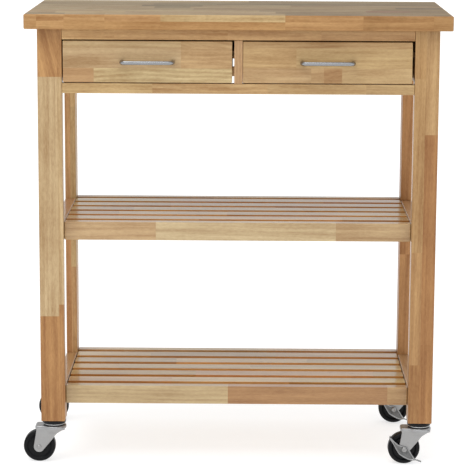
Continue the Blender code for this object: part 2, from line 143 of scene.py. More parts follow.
def wood_material(name, rough=0.42, coat=0.12, coat_rough=0.35, specular=0.35, contrast=1.0, grime=0.0, scratches=0.0):
    """Rubberwood.  The mesh carries, per face corner: tone (a stave's own colour),
    grain (metres along, across and into the stave, from its own pith) and edge
    (r: rounded arris, g: end grain, b: chance value of the stave)."""
    t = Tree(name)
    tone = t.attr("tone").outputs["Color"]
    p = t.attr("grain").outputs["Vector"]
    edge = t.attr("edge").outputs["Color"]
    sep = t.node("ShaderNodeSeparateColor")
    t.put(sep.inputs[0], edge)
    arris, end, chance = sep.outputs[0], sep.outputs[1], sep.outputs[2]

    # growth rings about the pith, warped along the stave
    warp = t.noise(t.vmath("MULTIPLY", p, (3.2, 16.0, 16.0)), 1.0, 3.0, 0.55)
    cross = t.vmath("MULTIPLY", p, (0.0, 1.0, 1.0))
    radius = t.vmath("LENGTH", cross)
    radius = t.math("ADD", radius, t.math("MULTIPLY", t.math("SUBTRACT", warp, 0.5), 0.030))
    ring = t.math("SINE", t.math("MULTIPLY", radius, 2 * math.pi / 0.0085))
    ring = t.remap(ring, -1.0, 1.0, 0.0, 1.0)
    ring = t.math("POWER", ring, 1.7)
    ring2 = t.math("SINE", t.math("MULTIPLY", radius, 2 * math.pi / 0.0031))
    ring2 = t.remap(ring2, -1.0, 1.0, 0.0, 1.0)
    # streaks and fibres run far along the stave and are narrow across it
    streak = t.noise(t.vmath("MULTIPLY", p, (3.5, 150.0, 150.0)), 1.0, 4.0, 0.55)
    band = t.noise(t.vmath("MULTIPLY", p, (1.5, 95.0, 95.0)), 1.0, 2.0, 0.5)
    fibre = t.noise(t.vmath("MULTIPLY", p, (22.0, 900.0, 900.0)), 1.0, 3.0, 0.6)
    fleck = t.noise(t.vmath("MULTIPLY", p, (120.0, 390.0, 390.0)), 1.0, 2.0, 0.55)
    blotch = t.noise(t.vmath("MULTIPLY", p, (7.0, 26.0, 26.0)), 1.0, 3.0, 0.5)
    mineral = t.noise(t.vmath("MULTIPLY", p, (2.2, 75.0, 75.0)), 1.0, 3.0, 0.6)
    mineral = t.remap(mineral, 0.60, 0.74, 0.0, 1.0, smooth=True)
    # open pores: short dark dashes
    pore = t.noise(t.vmath("MULTIPLY", p, (190.0, 2100.0, 2100.0)), 1.0, 1.0, 0.5)
    pore = t.remap(pore, 0.64, 0.74, 0.0, 1.0, smooth=True)
    pore_zone = t.noise(t.vmath("MULTIPLY", p, (6.0, 60.0, 60.0)), 1.0, 2.0, 0.5)
    pore = t.math("MULTIPLY", pore, t.remap(pore_zone, 0.35, 0.65, 0.25, 1.0))

    # plain staves show almost no rings, a few show a lot
    figure = t.math("ADD", t.math("MULTIPLY", t.math("POWER", chance, 2.2), 0.36 * contrast), 0.04 * contrast)
    f = t.math("MULTIPLY", t.math("SUBTRACT", ring, 0.42), figure)
    f = t.math("ADD", f, t.math("MULTIPLY", t.math("SUBTRACT", ring2, 0.5), 0.05 * contrast))
    f = t.math("ADD", f, t.math("MULTIPLY", t.math("SUBTRACT", streak, 0.5), 0.95 * contrast))
    f = t.math("ADD", f, t.math("MULTIPLY", t.math("SUBTRACT", band, 0.5), 1.15 * contrast))
    f = t.math("ADD", f, t.math("MULTIPLY", t.math("SUBTRACT", fibre, 0.5), 0.50 * contrast))
    f = t.math("ADD", f, t.math("MULTIPLY", t.math("SUBTRACT", fleck, 0.5), 0.62 * contrast))
    f = t.math("ADD", f, t.math("MULTIPLY", t.math("SUBTRACT", blotch, 0.5), 1.20 * contrast))
    f = t.math("ADD", f, 0.5)
    f = t.math("MAXIMUM", t.math("MINIMUM", f, 1.15), -0.15)
    dark = t.colour_mix(1.0, tone, rgba((0.70, 0.60, 0.50)), "MULTIPLY")
    light = t.colour_mix(1.0, tone, rgba((1.25, 1.33, 1.44)), "MULTIPLY")
    n = t.node("ShaderNodeMix", data_type="RGBA", blend_type="MIX", clamp_factor=False)
    t.put(n.inputs[0], f)
    t.put(n.inputs[6], dark)
    t.put(n.inputs[7], light)
    col = n.outputs[2]
    col = t.colour_mix(t.math("MULTIPLY", mineral, 0.34 * contrast), col, t.colour_mix(1.0, tone, rgba((0.62, 0.47, 0.33)), "MULTIPLY"))
    col = t.colour_mix(t.math("MULTIPLY", pore, 0.45), col, t.colour_mix(1.0, col, rgba((0.52, 0.42, 0.32)), "MULTIPLY"))
    # end grain drinks the finish and goes darker; sanded arrises are a touch lighter, and this lightening also paints a
    # highlight along the rounded edges
    col = t.colour_mix(t.math("MULTIPLY", end, 0.85), col, t.colour_mix(1.0, col, rgba((0.72, 0.63, 0.53)), "MULTIPLY"))
    col = t.colour_mix(t.math("MULTIPLY", arris, 0.5), col, t.colour_mix(1.0, col, rgba((1.10, 1.10, 1.10)), "MULTIPLY"))
    wear = t.noise(t.vmath("MULTIPLY", p, (38.0, 38.0, 38.0)), 1.0, 4.0, 0.6)
    if grime:
        stain = t.remap(wear, 0.52, 0.74, 0.0, 1.0, smooth=True)
        col = t.colour_mix(t.math("MULTIPLY", stain, grime), col, t.colour_mix(1.0, col, rgba((0.80, 0.80, 0.76)), "MULTIPLY"))
    t.put(t.bsdf.inputs["Base Color"], col)

    r = t.math("ADD", rough, t.math("MULTIPLY", t.math("SUBTRACT", fibre, 0.5), 0.22))
    r = t.math("ADD", r, t.math("MULTIPLY", t.math("SUBTRACT", wear, 0.5), 0.16))
    r = t.math("ADD", r, t.math("MULTIPLY", pore, 0.15))
    r = t.math("ADD", r, t.math("MULTIPLY", end, 0.14))
    r = t.math("SUBTRACT", r, t.math("MULTIPLY", arris, 0.06))
    height = t.math("MULTIPLY", fibre, 0.45)
    height = t.math("ADD", height, t.math("MULTIPLY", streak, 0.35))
    height = t.math("SUBTRACT", height, t.math("MULTIPLY", pore, 0.9))
    if scratches:
        # knife marks: thin lines in two slanting directions
        for k, (a, b) in enumerate(((0.86, 0.5), (0.42, -0.91))):
            rot = t.node("ShaderNodeVectorRotate", rotation_type="Z_AXIS")
            t.put(rot.inputs["Vector"], p)
            rot.inputs["Angle"].default_value = math.atan2(b, a) + 0.2 * k
            s = t.noise(t.vmath("MULTIPLY", rot.outputs[0], (14.0, 1100.0, 4.0)), 1.0, 1.0, 0.5)
            s = t.remap(s, 0.73, 0.78, 0.0, 1.0, smooth=True)
            height = t.math("SUBTRACT", height, t.math("MULTIPLY", s, scratches))
            r = t.math("ADD", r, t.math("MULTIPLY", s, 0.12))
    t.put(t.bsdf.inputs["Roughness"], r)
    t.put(t.bsdf.inputs["Normal"], t.bump(height, 0.35, 0.00035))
    t.bsdf.inputs["Specular IOR Level"].default_value = specular
    t.bsdf.inputs["Coat Weight"].default_value = coat
    t.bsdf.inputs["Coat Roughness"].default_value = coat_rough
    return t.mat


def metal_material(name, colour, rough, brush=(1.0, 1.0, 1.0), smear=0.12, dirt=0.25, bump=0.05):
    """Plated steel: fine brush or polish lines, cloudy plating and dull spots."""
    t = Tree(name)
    tc = t.node("ShaderNodeTexCoord")
    p = tc.outputs["Object"]
    lines = t.noise(t.vmath("MULTIPLY", p, tuple(900.0 * b for b in brush)), 1.0, 3.0, 0.6)
    cloud = t.noise(p, 60.0, 4.0, 0.6)
    speck = t.noise(p, 520.0, 3.0, 0.65)
    speck = t.remap(speck, 0.60, 0.72, 0.0, 1.0, smooth=True)
    f = t.math("ADD", t.math("MULTIPLY", t.math("SUBTRACT", lines, 0.5), 0.35), t.math("MULTIPLY", t.math("SUBTRACT", cloud, 0.5), 0.8))
    f = t.math("ADD", f, 0.5, clamp=True)
    lo = tuple(c * 0.84 for c in colour)
    hi = tuple(min(1.0, c * 1.12) for c in colour)
    col = t.colour_mix(f, rgba(lo), rgba(hi))
    col = t.colour_mix(t.math("MULTIPLY", speck, dirt), col, rgba(tuple(c * f2 for c, f2 in zip(colour, (0.50, 0.47, 0.43)))))
    t.put(t.bsdf.inputs["Base Color"], col)
    r = t.math("ADD", rough, t.math("MULTIPLY", t.math("SUBTRACT", cloud, 0.5), smear * 2))
    r = t.math("ADD", r, t.math("MULTIPLY", t.math("SUBTRACT", lines, 0.5), smear))
    r = t.math("ADD", r, t.math("MULTIPLY", speck, 0.2))
    t.put(t.bsdf.inputs["Roughness"], r)
    t.bsdf.inputs["Metallic"].default_value = 1.0
    h = t.math("ADD", lines, t.math("MULTIPLY", speck, -0.6))
    t.put(t.bsdf.inputs["Normal"], t.bump(h, bump, 0.0004))
    return t.mat


def polymer_material(name, colour, rough, grain=700.0, dust=0.15, bump=0.12, specular=0.5):
    """Moulded black plastic or rubber: fine texture, scuffs and pale floor dust."""
    t = Tree(name)
    tc = t.node("ShaderNodeTexCoord")
    p = tc.outputs["Object"]
    fine = t.noise(p, grain, 3.0, 0.6)
    cloud = t.noise(p, 45.0, 4.0, 0.6)
    scuff = t.noise(t.vmath("MULTIPLY", p, (260.0, 260.0, 60.0)), 1.0, 3.0, 0.6)
    scuff = t.remap(scuff, 0.58, 0.72, 0.0, 1.0, smooth=True)
    lo = tuple(c * 0.75 for c in colour)
    hi = tuple(c * 1.35 for c in colour)
    col = t.colour_mix(cloud, rgba(lo), rgba(hi))
    dusty = t.math("MULTIPLY", scuff, dust)
    dusty = t.math("ADD", dusty, t.math("MULTIPLY", fine, dust * 0.3))
    col = t.colour_mix(dusty, col, rgba((0.12, 0.115, 0.105)))
    t.put(t.bsdf.inputs["Base Color"], col)
    r = t.math("ADD", rough, t.math("MULTIPLY", t.math("SUBTRACT", cloud, 0.5), 0.22))
    r = t.math("ADD", r, t.math("MULTIPLY", scuff, 0.15))
    t.put(t.bsdf.inputs["Roughness"], r)
    t.put(t.bsdf.inputs["Normal"], t.bump(fine, bump, 0.0003))
    t.bsdf.inputs["Specular IOR Level"].default_value = specular
    return t.mat


WOOD = wood_material("wood_frame", rough=0.44, coat=0.12, coat_rough=0.36, specular=0.35, contrast=1.15)
WOOD_FRONT = wood_material("wood_drawer_front", rough=0.42, coat=0.12, coat_rough=0.36, specular=0.32, contrast=0.9)
WOOD_SHELF = wood_material("wood_shelf", rough=0.32, coat=0.62, coat_rough=0.09, specular=0.32, contrast=0.9)
WOOD_TOP = wood_material("wood_worktop", rough=0.50, coat=0.0, coat_rough=0.5, specular=0.22, contrast=1.0, grime=0.55, scratches=0.5)
WOOD_BOX = wood_material("wood_drawer_box", rough=0.60, coat=0.0, specular=0.25, contrast=0.7)
NICKEL = metal_material("satin_nickel", (0.33, 0.333, 0.338), 0.24, brush=(0.05, 1.0, 1.0), smear=0.10, dirt=0.10, bump=0.04)
ZINC = metal_material("zinc_plate", (0.37, 0.366, 0.362), 0.36, brush=(1.0, 1.0, 0.10), smear=0.16, dirt=0.25)
BRIGHT = metal_material("bright_zinc", (0.54, 0.538, 0.534), 0.22, brush=(1.0, 1.0, 1.0), smear=0.14, dirt=0.22)
LEVER_ZINC = metal_material("lever_zinc", (0.33, 0.33, 0.33), 0.24, brush=(1.0, 1.0, 1.0), smear=0.16, dirt=0.30)
# rougher zinc for the floor of the lever's pressed panel; its dark colour is painted shade
DULL_SHADED_ZINC = metal_material("dull_shaded_zinc", (0.17, 0.17, 0.168), 0.30, brush=(1.0, 1.0, 1.0), smear=0.22, dirt=0.40)
PRESSED = metal_material("pressed_zinc", (0.40, 0.40, 0.40), 0.42, brush=(1.0, 1.0, 1.0), smear=0.14, dirt=0.25)
RUBBER = polymer_material("black_wheel", (0.0040, 0.0043, 0.0052), 0.36, dust=0.035, specular=0.16)
CAP = polymer_material("black_cap", (0.005, 0.005, 0.0058), 0.32, grain=1100.0, dust=0.03, bump=0.06, specular=0.20)

# ================================================================ mesh helpers


def make(name, bm, mats, body, replaces=(), smooth=True, weighted=True):
    mesh = bpy.data.meshes.new(name)
    bmesh.ops.recalc_face_normals(bm, faces=bm.faces[:])
    bm.to_mesh(mesh)
    bm.free()
    for m in mats if isinstance(mats, (list, tuple)) else [mats]:
        mesh.materials.append(m)
    if smooth:
        mesh.shade_smooth()
    obj = bpy.data.objects.new(name, mesh)
    COLL.objects.link(obj)
    if weighted:
        mod = obj.modifiers.new("normals", "WEIGHTED_NORMAL")
        mod.weight = 60
        mod.keep_sharp = True
    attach(obj, body)
    if replaces:
        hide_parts(*([replaces] if isinstance(replaces, str) else replaces))
    return obj


def box_bm(lo, hi, r, seg=3):
    bm = bmesh.new()
    size = [hi[i] - lo[i] for i in range(3)]
    mid = [(hi[i] + lo[i]) / 2 for i in range(3)]
    bmesh.ops.create_cube(bm, size=1.0, matrix=Matrix.Translation(mid) @ Matrix.Diagonal((*size, 1.0)))
    if r:
        bmesh.ops.bevel(bm, geom=bm.edges[:], offset=r, segments=seg, affect="EDGES", profile=0.5)
    return bm


def profile_bm(outline, axis, lo, hi, r, seg=2):
    """Outline in the plane across the axis, extruded along it, arrises rounded."""
    bm = bmesh.new()
    rings = []
    for pos in (lo, hi):
        rings.append([bm.verts.new({"X": (pos, u, v), "Y": (u, pos, v), "Z": (u, v, pos)}[axis]) for u, v in outline])
    bm.faces.new(rings[0])
    bm.faces.new(rings[1])
    n = len(outline)
    for i in range(n):
        j = (i + 1) % n
        bm.faces.new((rings[0][i], rings[0][j], rings[1][j], rings[1][i]))
    bmesh.ops.recalc_face_normals(bm, faces=bm.faces[:])
    if r:
        sharp = [e for e in bm.edges if len(e.link_faces) == 2 and e.calc_face_angle(0) > math.radians(35)]
        bmesh.ops.bevel(bm, geom=sharp, offset=r, segments=seg, affect="EDGES", profile=0.5)
    return bm


PALETTE = [(197, 163, 119), (189, 151, 105), (202, 173, 131), (181, 137, 91), (194, 157, 111), (186, 144, 98), (206, 179, 139), (176, 131, 86)]
PALE = [(205, 178, 137), (199, 168, 124), (208, 182, 144), (194, 160, 115), (202, 172, 128)]


BALANCE = {"wood_frame": (0.89, 0.88, 0.84), "wood_drawer_front": (0.90, 0.90, 0.88), "wood_shelf": (0.90, 0.87, 0.78),
           "wood_worktop": (0.93, 0.90, 0.83), "wood_drawer_box": (0.95, 0.94, 0.92)}


class Staves:
    """Cuts a board into staves.  strips: boundaries across the grain on one axis;
    joints: for each strip the positions along the grain where one stave meets the
    next; tones: for each strip its staves' colours."""

    def __init__(self, seed, across, strips, joints, tones, figure=None):
        self.seed = seed
        self.across, self.strips, self.joints, self.tones = across, strips, joints, tones
        # (strip, stave): (figure strength 0..1, slope of the grain)
        self.figure = figure or {}

    def cuts(self, along):
        out = [(self.across, s) for s in self.strips]
        for js in self.joints:
            out += [(along, j) for j in js]
        return sorted(set(out))

    def find(self, c, along):
        i = sum(1 for s in self.strips if c[self.across] > s)
        j = sum(1 for s in self.joints[i] if c[along] > s)
        return i, j, self.tones[i][j]


def random_staves(seed, lo, hi, along, across, width=0.042, length=0.28, palette=PALETTE):
    rng = random.Random(seed)
    span = hi[across] - lo[across]
    count = max(1, round(span / width))
    strips = [lo[across] + span * k / count for k in range(1, count)]
    joints, tones = [], []
    for k in range(count):
        js, pos = [], lo[along] + length * rng.uniform(0.25, 1.1)
        while pos < hi[along] - 0.05:
            js.append(pos)
            pos += length * rng.uniform(0.7, 1.5)
        joints.append(js)
        last, ts = None, []
        for _ in range(len(js) + 1):
            c = rng.choice(palette)
            while c == last:
                c = rng.choice(palette)
            last = c
            ts.append(tuple(v + rng.uniform(-3, 3) for v in c))
        tones.append(ts)
    return Staves(seed, across, strips, joints, tones)


def wood(name, bm, lo, hi, along, staves, mat, body, replaces=(), gain=1.0, slope=0.02, side=None):
    """Cuts bm at the staves' glue lines and writes the wood attributes."""
    bmesh.ops.recalc_face_normals(bm, faces=bm.faces[:])
    for axis, pos in staves.cuts(along):
        no = [0.0, 0.0, 0.0]
        no[axis] = 1.0
        co = [0.0, 0.0, 0.0]
        co[axis] = pos
        bmesh.ops.bisect_plane(bm, geom=bm.verts[:] + bm.edges[:] + bm.faces[:], plane_co=co, plane_no=no)
    mesh = bpy.data.meshes.new(name)
    bm.normal_update()
    bm.to_mesh(mesh)
    bm.free()
    mesh.materials.append(mat)
    others = [a for a in range(3) if a != along]
    tone = mesh.color_attributes.new("tone", "FLOAT_COLOR", "CORNER")
    edge = mesh.color_attributes.new("edge", "FLOAT_COLOR", "CORNER")
    grain = mesh.attributes.new("grain", "FLOAT_VECTOR", "CORNER")
    known = {}
    for poly in mesh.polygons:
        c, nrm = poly.center, poly.normal
        i, j, colour = staves.find(c, along)
        key = (i, j)
        if key not in known:
            rng = random.Random("%s %s %d %d" % (name, staves.seed, i, j))
            ang = rng.uniform(0, 2 * math.pi)
            dist = rng.uniform(0.03, 0.16)
            fig, incline = staves.figure.get(key, (rng.random() * 0.8, rng.uniform(-slope, slope)))
            known[key] = (rng.uniform(-4, 4), math.cos(ang) * dist, math.sin(ang) * dist, incline, incline * rng.uniform(-1, 1),
                          tuple(v * gain * k for v, k in zip(lin(colour), BALANCE[mat.name])), fig, rng.choice((-1, 1)))
        du, dv, dw, sv, sw, rgb, chance, flip = known[key]
        flat = max(abs(x) for x in nrm) > 0.995
        is_end = abs(nrm[along]) > 0.8
        shade_face = False
        if side:
            # faces along one axis get a darker, warmer tone, painted shade such as in the gaps between slats: (axis,
            # direction or 0 for both, factor)
            n_side = nrm[side[0]]
            shade_face = (n_side * side[1] if side[1] else abs(n_side)) > 0.42
            if shade_face:
                rgb = tuple(a * b for a, b in zip(rgb, side[2]))
        for li in poly.loop_indices:
            v = mesh.vertices[mesh.loops[li].vertex_index].co
            u = v[along] - (lo[along] + hi[along]) / 2
            a = v[others[0]] - (lo[others[0]] + hi[others[0]]) / 2
            b = v[others[1]] - (lo[others[1]] + hi[others[1]]) / 2
            grain.data[li].vector = (flip * u + du, a + dv + sv * u, b + dw + sw * u)
            tone.data[li].color = (*rgb, 1.0)
            edge.data[li].color = (0.0 if flat or shade_face else 1.0, 1.0 if is_end else 0.0, chance, 1.0)
    mesh.shade_smooth()
    obj = bpy.data.objects.new(name, mesh)
    COLL.objects.link(obj)
    mod = obj.modifiers.new("normals", "WEIGHTED_NORMAL")
    mod.weight = 60
    mod.keep_sharp = True
    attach(obj, body)
    if replaces:
        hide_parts(*([replaces] if isinstance(replaces, str) else replaces))
    return obj


def plank(name, lo, hi, along, mat, body, replaces=(), staves=None, seed=None, across=None, r=0.0014, palette=PALETTE, width=0.046,
          length=0.30, gain=1.0, side=None):
    others = [a for a in range(3) if a != along]
    if across is None:
        across = max(others, key=lambda a: hi[a] - lo[a])
    if staves is None:
        staves = random_staves(seed if seed is not None else name, lo, hi, along, across, width, length, palette)
    return wood(name, box_bm(lo, hi, r), lo, hi, along, staves, mat, body, replaces, gain, side=side)


# ================================================================ the wooden parts
X, Y, Z = 0, 1, 2
OX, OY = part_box("butcher_block_top")[0][0] + 0.4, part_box("butcher_block_top")[0][1] + 0.2


def nb(node):
    lo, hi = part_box(node)
    return list(lo), list(hi)


def sx(v):
    """x given from the middle of the top."""
    return v + OX


# ---- worktop
lo, hi = nb("butcher_block_top")
rng = random.Random(11)
# the top face gets darker, greyer tones than the front edge of the same staves: painted shade of the upper face
TOP_TONES = [(161, 141, 107), (150, 132, 100), (144, 127, 97), (168, 148, 113), (154, 134, 102), (162, 140, 108), (142, 125, 96)]
strips, joints, tones = [], [], []
rows = 9
depth = hi[Y] - lo[Y]
for k in range(rows):
    if k:
        strips.append(lo[Y] + depth * k / rows)
    js, pos = [], lo[X] + rng.uniform(0.10, 0.32)
    while pos < hi[X] - 0.07:
        js.append(pos)
        pos += rng.uniform(0.20, 0.42)
    joints.append(js)
    ts, last = [], None
    for n_stave in range(len(js) + 1):
        c = rng.choice(TOP_TONES)
        while c == last:
            c = rng.choice(TOP_TONES)
        last = c
        ts.append(c)
    tones.append(ts)
# a few staves stand out from their neighbours: strip, from x, to x, tone
for k, x0, x1, c in ((4, -0.165, -0.095, (128, 112, 82)), (5, -0.192, -0.072, (118, 103, 74)), (6, -0.170, -0.088, (126, 112, 84)),
                     (6, -0.045, 0.062, (130, 115, 86)), (2, 0.243, 0.327, (150, 117, 90)), (1, -0.345, -0.215, (172, 151, 115))):
    js = [j for j in joints[k] if not sx(x0) - 0.06 < j < sx(x1) + 0.06]
    before = sum(1 for j in js if j < sx(x0))
    kept = tones[k][:before + 1] + tones[k][before:before + 1 + len(js) - before]
    joints[k] = js[:before] + [sx(x0), sx(x1)] + js[before:]
    tones[k] = kept[:before + 1] + [c] + kept[before + 1:before + 2] + kept[before + 2:]
    while len(tones[k]) < len(joints[k]) + 1:
        tones[k].append(rng.choice(TOP_TONES))
# front strip, whose edge is seen: x of its joints from the middle of the top
joints[0] = [sx(-0.376), sx(-0.325), sx(-0.249), sx(-0.145), sx(0.087), sx(0.232), sx(0.363)]
FRONT_TONES = [(188, 147, 101), (190, 149, 103), (188, 147, 100), (184, 142, 96), (196, 168, 124), (180, 138, 92), (171, 130, 85), (173, 133, 88)]
EDGE_TONES = [(187, 145, 98), (185, 143, 96), (186, 145, 97), (183, 141, 93), (181, 139, 91), (178, 136, 90), (170, 129, 84), (172, 132, 87)]


BACK_TONES = [(190, 149, 103), (184, 143, 97), (196, 159, 113), (187, 146, 101), (193, 155, 110), (182, 139, 93), (189, 151, 107)]


class TopStaves(Staves):
    def cuts(self, along):
        return super().cuts(along) + [(Z, hi[Z] - 0.0125), (Y, lo[Y] + 0.0025), (Y, hi[Y] - 0.0025), (X, lo[X] + 0.0025), (X, hi[X] - 0.0025)]

    def find(self, c, along):
        i, j, tone = super().find(c, along)
        upper = c[Z] > hi[Z] - 0.0125
        if i == 0 and c[Y] < lo[Y] + 0.0026:
            # the edge itself: a pale seam runs along its upper half in the middle
            return (101, j, FRONT_TONES[j]) if upper else (100, j, EDGE_TONES[j])
        if c[Y] > hi[Y] - 0.0026:
            return 102 + upper, j, BACK_TONES[(j + 3 * upper) % len(BACK_TONES)]
        if c[X] < lo[X] + 0.0026 or c[X] > hi[X] - 0.0026:
            return 110 + i, j, BACK_TONES[(5 * i + j) % len(BACK_TONES)]
        return i, j, tone


tones[0] = [rng.choice(TOP_TONES) for _ in range(len(joints[0]) + 1)]
for k in range(rows):
    # the right-hand half is a shade deeper and warmer
    ends = [lo[X]] + joints[k] + [hi[X]]
    for n_stave in range(len(ends) - 1):
        v = max(0.0, ((ends[n_stave] + ends[n_stave + 1]) / 2 - lo[X]) / (hi[X] - lo[X]) - 0.45)
        tones[k][n_stave] = tuple(a * b for a, b in zip(tones[k][n_stave], (1.02 - 0.36 * v, 1.01 - 0.41 * v, 1.0 - 0.52 * v)))
top_staves = TopStaves("top", Y, strips, joints, tones)
wood("butcher_block_slab", box_bm(lo, hi, 0.0026, 4), lo, hi, X, top_staves, WOOD_TOP, "frame", "butcher_block_top")

# ---- legs
LEG_L = Staves("leg_l", X, [sx(-0.3400)], [[0.292, 0.7515], [0.315, 0.7515]],
               [[(180, 131, 80), (200, 171, 129), (183, 135, 84)], [(179, 130, 79), (196, 165, 121), (181, 133, 82)]],
               {(0, 0): (0.25, 0.01), (0, 1): (0.15, 0.0), (0, 2): (0.38, 0.24), (1, 0): (0.2, 0.01), (1, 1): (0.2, 0.01), (1, 2): (0.35, 0.22)})
LEG_R = Staves("leg_r", X, [sx(0.3520)], [[0.20, 0.42, 0.752], [0.24, 0.6457]],
               [[(172, 126, 77), (178, 135, 87), (186, 147, 98), (184, 143, 93)], [(166, 117, 69), (168, 119, 71), (188, 149, 101)]])
REAR_L = Staves("rear_l", X, [sx(-0.342)], [[0.40], [0.33, 0.66]],
                [[(194, 143, 93), (198, 152, 102)], [(200, 157, 107), (210, 180, 130), (207, 173, 122)]])
REAR_R = Staves("rear_r", X, [], [[0.36]], [[(187, 137, 87), (185, 134, 84)]])
for tag, staves in (("front_left", LEG_L), ("front_right", LEG_R), ("rear_left", REAR_L), ("rear_right", REAR_R)):
    lo, hi = nb(tag + "_leg")
    s = -1 if "left" in tag else 1
    if "front" in tag:
        b_lo, b_hi = list(lo), [hi[0], lo[1] + 0.022, hi[2]]
        f_lo, f_hi = [lo[0] + 0.0002, lo[1] + 0.0221, lo[2] + 0.0002], [hi[0] - 0.0002, hi[1], 0.1147]
    else:
        x0, x1 = sorted((sx(s * 0.331), sx(s * 0.353)))
        b_lo, b_hi = [x0, lo[1], lo[2]], [x1, hi[1], hi[2]]
        x0, x1 = sorted((sx(s * 0.3531), sx(s * 0.377)))
        f_lo, f_hi = [x0, lo[1] + 0.0002, lo[2] + 0.0002], [x1, hi[1] - 0.0002, 0.1147]
    wood(tag + "_leg_board", box_bm(b_lo, b_hi, 0.0014), b_lo, b_hi, Z, staves, WOOD, "frame", tag + "_leg")
    plank(tag + "_foot_block", f_lo, f_hi, Z, WOOD, "frame", palette=[(172, 126, 80), (178, 134, 90)], r=0.0012)

# ---- side aprons with the drawer runners
for side in ("left", "right"):
    lo, hi = nb(side + "_side_apron")
    s = -1 if side == "left" else 1
    x0, x1 = sorted((sx(s * 0.331), sx(s * 0.353)))
    plank(side + "_apron_board", [x0, lo[1], lo[2]], [x1, hi[1], hi[2]], Y, WOOD, "frame", side + "_side_apron", across=Z, width=0.05)
    x0, x1 = sorted((sx(s * 0.3309), sx(s * (0.331 - 0.0087))))
    plank(side + "_apron_runner", [x0, lo[1] + 0.0004, 0.790], [x1, hi[1] - 0.0004, 0.800], Y, WOOD_BOX, "frame", r=0.0008, palette=PALE)

# ---- rails at drawer level
lo, hi = nb("front_top_rail")
plank("front_top_rail_board", lo, hi, X, WOOD, "frame", "front_top_rail",
      staves=Staves("ftr", Z, [], [[sx(-0.232), sx(-0.02), sx(0.155)]], [[(208, 166, 113), (204, 161, 109), (196, 153, 103), (190, 147, 99)]]))
lo, hi = nb("front_drawer_rail")
plank("front_drawer_rail_board", lo, hi, X, WOOD, "frame", "front_drawer_rail",
      staves=Staves("fdr", Z, [], [[sx(-0.161), sx(0.055), sx(0.24)]], [[(205, 172, 121), (197, 160, 111), (194, 160, 112), (190, 157, 110)]]))
for node in ("rear_apron", "rear_drawer_rail"):
    lo, hi = nb(node)
    plank(node + "_board", lo, hi, X, WOOD, "frame", node, across=Z, width=0.045)

# ---- divider: notched board, grain upright at its front edge as in the stile
lo, hi = nb("centre_divider")
yf = lo[1]
outline = [(yf, lo[2] + 0.0193), (yf, 0.8217), (yf + 0.0223, 0.8217), (yf + 0.0223, hi[2]), (hi[1], hi[2]), (hi[1], lo[2]), (yf + 0.0223, lo[2]), (yf + 0.0223, lo[2] + 0.0193)]
bm = profile_bm(outline, "X", sx(-0.0075), sx(0.0081), 0.0008)
wood("centre_divider_board", bm, [sx(-0.0075), lo[1], lo[2]], [sx(0.0081), hi[1], hi[2]], Z,
     Staves("div", Y, [yf + 0.0223], [[], []], [[(190, 150, 108)], [(196, 160, 116)]]), WOOD, "frame", "centre_divider")
for side, s in (("left", -1), ("right", 1)):
    x0, x1 = sorted((sx(s * (0.0076 if s < 0 else 0.0082)), sx(s * 0.0162)))
    plank("divider_%s_runner" % side, [x0, yf + 0.0226, 0.790], [x1, hi[1] - 0.025, 0.800], Y, WOOD_BOX, "frame", r=0.0008, palette=PALE)

# ---- shelves
SHELF = {
    "middle": ([[sx(-0.156), sx(0.188)]], [[(195, 162, 120), (201, 177, 138), (188, 157, 115)]]),
    "lower": ([[sx(-0.017), sx(0.292)]], [[(183, 157, 117), (169, 126, 82), (183, 148, 103)]]),
}
SLAT_TONES = [(194, 166, 118), (187, 155, 106), (198, 172, 124), (180, 148, 99), (190, 160, 110), (184, 156, 112), (198, 170, 126)]
for level in ("middle", "lower"):
    lo, hi = nb(level + "_shelf_front_rail")
    plank(level + "_front_rail_board", lo, hi, X, WOOD_SHELF, "frame", level + "_shelf_front_rail",
          staves=Staves(level + "fr", Z, [], *SHELF[level]), r=0.0016)
    lo, hi = nb(level + "_shelf_rear_rail")
    # the rail's face toward the front is darkened: painted shade under the slats
    plank(level + "_rear_rail_board", lo, hi, X, WOOD_SHELF, "frame", level + "_shelf_rear_rail", palette=PALE, r=0.0014,
          side=(Y, -1, (0.78, 0.60, 0.46)))
    top = hi[2]
    for side, s in (("left", -1), ("right", 1)):
        node = "%s_shelf_%s_rail" % (level, side)
        lo, hi = nb(node)
        x0, x1 = sorted((sx(s * 0.331), sx(s * 0.353)))
        plank("%s_%s_rail_board" % (level, side), [x0, lo[1], lo[2]], [x1, hi[1], hi[2]], Y, WOOD_SHELF, "frame", node,
              palette=[(176, 136, 96), (182, 143, 102), (171, 130, 91)], r=0.0016)
        x0, x1 = sorted((sx(s * 0.3309), sx(s * 0.3130)))
        plank("%s_%s_ledge" % (level, side), [x0, lo[1] + 0.0220, top - 0.0333], [x1, hi[1] - 0.0003, top - 0.0153], Y, WOOD_BOX, "frame",
              r=0.0010, palette=PALE)
    for i in range(1, 6):
        node = "%s_shelf_slat_%d" % (level, i)
        lo, hi = nb(node)
        if level == "middle":
            lo[X], hi[X] = lo[X] - 0.0009, hi[X] + 0.0009
        # the slats' front and back faces get a darker, more orange tone: painted shade of the narrow gaps between slats
        plank("%s_slat_%d_board" % (level, i), lo, hi, X, WOOD_SHELF, "frame", node, palette=SLAT_TONES, r=0.0009, seed="%s%d" % (level, i + 7),
              side=(Y, 0, (1.02, 0.70, 0.46)), length=0.24)

